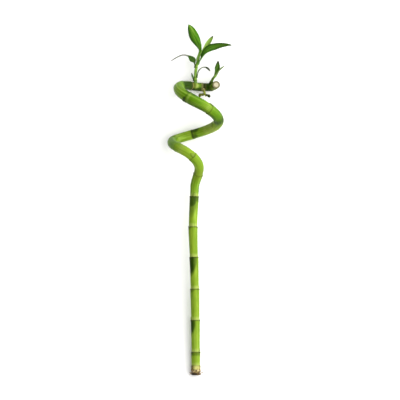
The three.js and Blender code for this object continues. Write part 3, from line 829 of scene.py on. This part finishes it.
def shoot(form):
    """A side shoot's stem, from just inside the stalk to its tip, with rims where its leaves clasp it."""
    columns, inside, row_length, skin_radius, lobe_color = 36, 4.5, 0.45, 3, 0.92
    rim_length, rim_rise = 0.7, 0.22
    collar_at, collar_length, collar_rise = 6.4, 1.8, 0.9
    tip_length, tip_taper = 1.2, 0.55
    ribs, rib_twist, rib_height = 9, 0.2, 0.06
    line = form["line"]
    rows = int((line.length - inside) / row_length)
    far, turn = round_grid(np.linspace(inside, line.length, rows), columns)
    rims = sum(bell(far - rim, rim_length) for rim in form["rims"])
    radius = smooth(form["radius"], far)
    radius = radius + rim_rise * rims + collar_rise * bell(far - collar_at, collar_length)
    radius = radius * (1 - tip_taper * step(far, line.length - tip_length, line.length))
    radius = radius + rib_height * np.sin(ribs * turn + rib_twist * far)
    values = {"foot": 1 - step(far, 7, 16), "rim": np.clip(rims, 0, 1), "brown": 0 * far, "deep": 0 * far}
    tubes = Tubes()
    tubes.add(ring_grid(line, far, turn, radius), **values, around=unrolled(skin_radius, turn, far))
    for number, (centre, along, size, kind) in enumerate(form.get("lobes", [])):
        lobe = lobe_grid(centre, along, size, number)
        flat = np.zeros(lobe.shape[:2])
        tubes.add(lobe, **{key: flat + lobe_color * (key == kind) for key in values}, around=lobe)
    return tubes.piece(form["piece"], shoot_material(*form["skin"]))


def lobe_grid(centre, along, size, seed):
    """A wrinkled lump, by about half its length, width and depth."""
    along = unit(along)
    toward_viewer = (0, 0, 1)
    side = unit(np.cross(along, toward_viewer))
    out = np.cross(side, along)
    down, turn = round_grid(np.linspace(0.03, math.pi - 0.03, 34), 40)
    length, width, depth = size
    furrow = 0.13 * np.abs(np.sin(1.5 * turn + seed + 0.8 * np.cos(down)))
    furrow = furrow + 0.05 * np.sin(9 * turn + 3 * down)
    wrinkled = 1.08 - furrow + 0.08 * waves(4 * down, 3 * np.cos(turn), seed)
    girth = np.sin(down) ** 1.25 * (0.98 - 0.16 * np.cos(down)) * wrinkled
    bend = 0.28 * depth * np.cos(down) ** 2
    return (
        np.array(centre)
        - along * (np.cos(down) * length * 1.08)[..., None]
        + side * (girth * np.cos(turn) * width + bend)[..., None]
        - out * (girth * np.sin(turn) * depth)[..., None]
    )


# The leaves

# A leaf's clearance from the stem that it clasps, half the thickness of its solid, and what the solid's
# flat facets need besides
GAP, HALF_SOLID_LEAF, FIT = 0.3, 0.4, 0.2
# Each leaf clasps a shoot (on) from a place along it (at) for a length (hold), on one side (away); grip is
# half the angle that it wraps. Beyond, reach is its midrib's route, and face where its upper side faces, at
# even steps. widths and curl go by share of its length: half its width, and half the angle that it is
# rolled by. The rest is its look, as leaf_material() takes it.
LEAVES = {
    "main_leaf_scale": dict(
        on="main", at=9.6, hold=3, away=(-1, 0, 0.1), grip=0.9,
        reach=[(-6.2, 515, -35.8), (-7.8, 522.4, -35)],
        face=[(0.7, 0.2, 0.7), (0.5, 0.2, 0.85)],
        widths=[(0.6, 2.3), (1, 0.6)],
        curl=[(0.6, 0.7), (1, 0.3)],
        name="scale_leaf", tip_from=0.6, tip_blend=0.3, blade="33461d", foot="465c22", tip="1c2410",
    ),
    "main_leaf_thread": dict(
        on="main", at=15.5, hold=3.5, away=(1, 0, 0.3), grip=0.85,
        reach=[
            (5, 526, -31), (8.8, 530.2, -29), (13.4, 532, -27), (18.8, 530.8, -25.2), (24.8, 525, -24),
        ],
        face=[(-0.5, 0.5, 0.7), (0, 0.6, 0.8), (0.3, 0.5, 0.8)],
        widths=[(0.35, 1.5), (0.6, 1), (0.84, 2.3), (1, 0.7)],
        curl=[(0.35, 0.6), (0.7, 0.4), (1, 0.3)],
        name="thread_leaf", tip_from=0.6, tip_blend=0.2, dry=(0.42, 0.52, "60694e"),
        blade="2b4410", foot="33500f", tip="1f2912",
    ),
    "main_leaf_withered": dict(
        on="main", at=32.5, hold=4, away=(-1, 0, 0.15), grip=0.95,
        reach=[
            (-7, 545.6, -33), (-14.6, 552.2, -33.6), (-23.2, 553.4, -35), (-31.2, 550.4, -37),
            (-39.2, 546, -40), (-44.2, 542.8, -42),
        ],
        face=[(0.2, 0.2, 0.95), (0.15, 0.4, 0.9), (0, 0.6, 0.8), (-0.2, 0.6, 0.8)],
        widths=[(0.14, 5), (0.22, 6.3), (0.31, 4.6), (0.41, 1.6), (0.47, 1.2), (0.8, 1.2), (1, 0.7)],
        curl=[(0.2, 0.6), (0.36, 0.6), (0.46, 0.5), (1, 0.4)],
        name="withered_leaf", tip_from=0.97, dry=(0.38, 0.46, "666c5a"), edge=-1,
        blade="34500f", light="4c6820", foot="46661c",
    ),
    "main_leaf_right": dict(
        on="main", at=39, hold=6, away=(0.84, 0, 0.54), grip=1.1,
        reach=[
            (10.2, 547.4, -25.2), (13.2, 553.4, -24.2), (17.8, 560, -23.8), (24.8, 564.6, -22.8),
            (32.8, 567, -21.8), (42.8, 569.2, -20), (52.8, 570.2, -18), (63, 569.8, -15.5),
        ],
        face=[(-0.6, 0.45, 0.6), (-0.2, 0.45, 0.85), (0, 0.35, 0.94), (0, 0.35, 0.94), (0.1, 0.3, 0.95)],
        widths=[(0.22, 4.8), (0.34, 6.1), (0.5, 6.9), (0.7, 5.4), (0.88, 2.8), (1, 0.5)],
        curl=[(0.22, 1), (0.34, 0.6), (0.5, 0.4), (0.8, 0.3), (1, 0.2)],
        # Its darker side (edge) is painted shade on the blade's far half
        name="right_leaf", tip_from=0.42, tip_blend=0.5, edge=-1,
        deep="2f6000", blade="4f860e", light="80ac38", foot="4a7620", tip="365806",
    ),
    "main_leaf_left": dict(
        on="main", at=45, hold=6, away=(-0.97, 0, 0.25), grip=0.9,
        reach=[
            (6.3, 561, -28.4), (5, 567.5, -28.6), (1.2, 576, -29.6), (-4.2, 586.5, -31.4), (-8.7, 597, -34),
            (-13.2, 607.2, -37.4),
        ],
        face=[(0.7, 0, -0.7), (0.4, 0, -0.9), (0.3, 0.1, -0.95), (0.3, 0.2, -0.93)],
        widths=[(0.28, 4.2), (0.4, 5.8), (0.6, 8.7), (0.74, 8.3), (0.87, 6), (0.95, 3), (1, 0.6)],
        curl=[(0.28, 0.6), (0.5, 0.4), (0.8, 0.3), (1, 0.2)],
        # Its light streak (streak) is a painted highlight on the lit left side of the blade
        name="left_leaf", tip_from=0.955, edge=1, streak=(-0.35, (0.6, 0.88), 0.9), foot="90b852",
    ),
    "main_leaf_spear": dict(
        on="main", at=53, hold=3.5, away=(0, 0, -1), grip=0.85,
        reach=[
            (13, 561, -34.6), (18.2, 568, -36.8), (22.2, 574.6, -37.8), (26, 580.8, -38.4),
            (30.2, 587.2, -38.6),
        ],
        face=[(-0.2, 0, 1), (-0.3, 0.1, 1), (-0.3, 0.2, 0.95)],
        widths=[(0.22, 2.9), (0.42, 4.1), (0.6, 4.7), (0.85, 3.4), (1, 0.7)],
        curl=[(0.22, 0.95), (0.42, 0.9), (0.7, 0.8), (1, 0.3)],
        name="spear_leaf", tip_from=0.87, tip_blend=0.1,
        deep="7ca43c", blade="92b44a", light="b0cc68", foot="90b850",
    ),
    "small_leaf_upright": dict(
        on="small", at=22.5, hold=2.5, away=(0.1, 0, -1), grip=1.15,
        reach=[(37, 527, -36), (37.6, 533, -36.4), (38, 538, -36.2), (38.4, 544, -35.4)],
        face=[(-0.2, 0, 1), (-0.1, 0, 1), (0, 0.1, 1)],
        widths=[(0.35, 4.2), (0.55, 4.7), (0.8, 3), (1, 0.5)],
        curl=[(0.35, 0.7), (0.6, 0.5), (1, 0.3)],
        name="small_leaf", tip_from=0.68, tip_blend=0.27, deep="2c5200", blade="467608", light="6c9a30",
    ),
    "small_leaf_side": dict(
        on="small", at=21, hold=2.4, away=(0.4, 0, 0.92), grip=0.85,
        reach=[(40.4, 526.4, -29.6), (45, 530.8, -28.8), (49.8, 534.6, -28.4)],
        face=[(-0.5, 0.4, -0.75), (-0.4, 0.5, -0.75), (-0.4, 0.5, -0.75)],
        widths=[(0.35, 1.8), (0.75, 1.8), (1, 0.6)],
        curl=[(0.35, 0.6), (1, 0.3)],
        name="side_leaf", tip_from=0.93, deep="4c6a28", blade="6a8248", light="86986a", tip="7f8a6c",
    ),
}


def leaf(node, number, on, at, hold, away, grip, reach, face, widths, curl, **look):
    """A blade along its midrib, as in the frame, with thin edges, a keel, veins and a slight wave."""
    stem = SHOOTS[on]
    away = np.array(away, float)
    foot, clasp = [], 0
    for distance in (at, at + hold):
        point, ahead, _, _ = stem["line"].at(distance)
        outward = unit(away - ahead * (away @ ahead))
        clasp = max(clasp, float(smooth(stem["radius"], distance)) + GAP + FIT + HALF_SOLID_LEAF)
        foot.append(point + outward * clasp)
    line = Line(through([*foot, *reach]))
    held = hold / line.length
    widths = [(0, clasp * grip), (held, clasp * grip), *widths]
    curl = [(0, grip), (held, grip), *curl]
    faces = np.array([-away, -away, *face])
    places = [0, *np.linspace(held, 1, len(face) + 1)]

    row_length, column_width, least_rows, least_columns = 0.42, 0.2, 40, 13
    wide = max(width for _, width in widths)
    rows = max(least_rows, int(line.length / row_length))
    columns = 2 * int(wide / column_width) + least_columns
    t, v = np.meshgrid(np.linspace(0, 1, rows), np.linspace(-1, 1, columns), indexing="ij")
    point, ahead, _, _ = line.at(t * line.length)
    up = np.stack([smooth(np.stack([places, faces[:, k]], -1), t) for k in range(3)], -1)
    up = unit(up - ahead * (up * ahead).sum(-1, keepdims=True))
    side = np.cross(ahead, up)

    # Half its width, and the radius and half angle that it is rolled by; its tip and its foot are rounded
    pinch, pinch_from, foot_length, foot_width = 0.75, 0.965, 1.6, 0.3
    pinched = 1 - pinch * step(t, pinch_from, 1)
    foot_round = np.sqrt(1 - (1 - np.clip(t * line.length / foot_length, 0, 1)) ** 2)
    half = smooth(widths, t) * pinched * (foot_width + (1 - foot_width) * foot_round)
    gutter = smooth(widths, t) * pinched / smooth(curl, t)
    turn = half / gutter

    # Relief in millimetres, which fades out where the leaf is narrow or still clasps its stem
    free = step(t, held + 0.05, held + 0.3)
    broad, fairly_broad = np.clip(half / 5, 0, 1), np.clip(half / 3, 0, 1)
    wave = 0.35 * free * v**2 * np.sin(t * line.length * 0.16 + 2 * v + number) * broad
    fold = 0.5 * free * np.abs(v) * broad
    veins = 0.035 * np.cos(v * half * 5.2) * (1 - v**8) * fairly_broad
    keel = 0.22 * bell(v * half, 0.55) * (1 - 0.6 * t) * np.clip(half / 3, 0.2, 1)
    thick = 0.05 + 0.24 * np.sqrt(1 - v**4)
    centre = point + up * (gutter + wave + fold)[..., None]

    def shell(offset):
        """The blade's points at an offset from its middle."""
        radius = gutter + offset
        sideways, down = radius * np.sin(v * turn), radius * np.cos(v * turn)
        return centre + side * sideways[..., None] - up * down[..., None]

    def both(over, under):
        """The upper side's columns, then the under side's on the way back."""
        return np.concatenate([over, under[:, ::-1]], axis=1)

    loop = both(shell(-thick + 0.5 * keel + veins), shell(thick + keel + veins))
    across, along, reach = both(v, v), both(t, t), both(half, half[:, ::-1])
    sheet = np.stack([across * reach, along * line.length, 0 * across + 7 * number], -1)
    tubes = Tubes()
    tubes.add(loop, across=across, along=along, sheet=sheet)
    return tubes.piece(node + "_blade", leaf_material(**look))


# Setting: floor, light and camera

# A room that is brightest towards the upper right and dim towards the lower left
BRIGHT_SIDE = (0.96, 0.12, -0.25)
ROOM_LIGHT, ROOM_CONTRAST = 1.3, 1.28
ROOM_COLOR = (0.99, 0.995, 1, 1)
KEY_PLACE, KEY_TARGET = (0.95, 0.1, 1.2), (0, 0, 0.03)
KEY_SIZE, KEY_POWER, KEY_COLOR = 2, 25, (1, 0.965, 0.93)
FLOOR_SIZE, FLOOR_DROP = 8, 0.0002
# Where the view is centred in the upright frame, in millimetres, and the view's height in metres
VIEW_CENTRE = (7, 302, 0)
VIEW_HEIGHT = 0.69


def place(obj, at, towards):
    """Put a light or a camera into the scene, aimed at a point."""
    obj.location = at
    obj.rotation_euler = (Vector(towards) - Vector(at)).to_track_quat("-Z", "Y").to_euler()
    bpy.context.scene.collection.objects.link(obj)
    return obj


def setting():
    """The floor, the room's light and a soft key light."""
    bpy.ops.mesh.primitive_plane_add(size=FLOOR_SIZE, location=(0, 0, -FLOOR_DROP))
    floor = bpy.context.object
    floor.name = "floor"
    floor.data.materials.append(floor_material())

    n = Nodes("studio", "worlds")
    bpy.context.scene.world = n.owner
    way = n.add("TexCoord", output="Generated")
    toward = n.add("VectorMath", {0: way, 1: BRIGHT_SIDE}, "Value", operation="DOT_PRODUCT")
    glow = n.add("Math", {0: toward, 1: ROOM_CONTRAST, 2: ROOM_LIGHT}, operation="MULTIPLY_ADD")
    background = n.tree.nodes["Background"]
    n.put(background.inputs["Color"], ROOM_COLOR)
    n.put(background.inputs["Strength"], glow)

    key = bpy.data.lights.new("key", "AREA")
    key.size = KEY_SIZE
    key.energy = KEY_POWER
    key.color = KEY_COLOR
    place(bpy.data.objects.new("key", key), KEY_PLACE, KEY_TARGET)
    bpy.context.scene.view_settings.view_transform = "Standard"


def camera():
    """Square to the stalk's own plane, as it was seen upright, with the root end at the bottom."""
    lens, sensor, clip_end = 300, 36, 50
    centre = Vector(in_row(VIEW_CENTRE))
    toward = Vector((0, -math.sin(REST_TILT), math.cos(REST_TILT)))
    distance = VIEW_HEIGHT * lens / sensor
    data = bpy.data.cameras.new("camera")
    data.lens = lens
    data.sensor_width = sensor
    data.clip_end = clip_end
    view = bpy.data.objects.new("camera", data)
    bpy.context.scene.camera = place(view, centre + toward * distance, centre)


camera()
setting()

pieces = [(cane(), "cane", "cane"), (root_crown(), "root_crown", "root")]
pieces += [(shoot(form), form["node"], "shoot") for form in SHOOTS.values()]
for number, (node, form) in enumerate(LEAVES.items()):
    slot = "young_leaf" if node == "main_leaf_spear" else "leaf"
    pieces.append((leaf(node, number, **form), node, slot))
for piece, node, slot in pieces:
    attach(piece, "root")
    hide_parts(node)
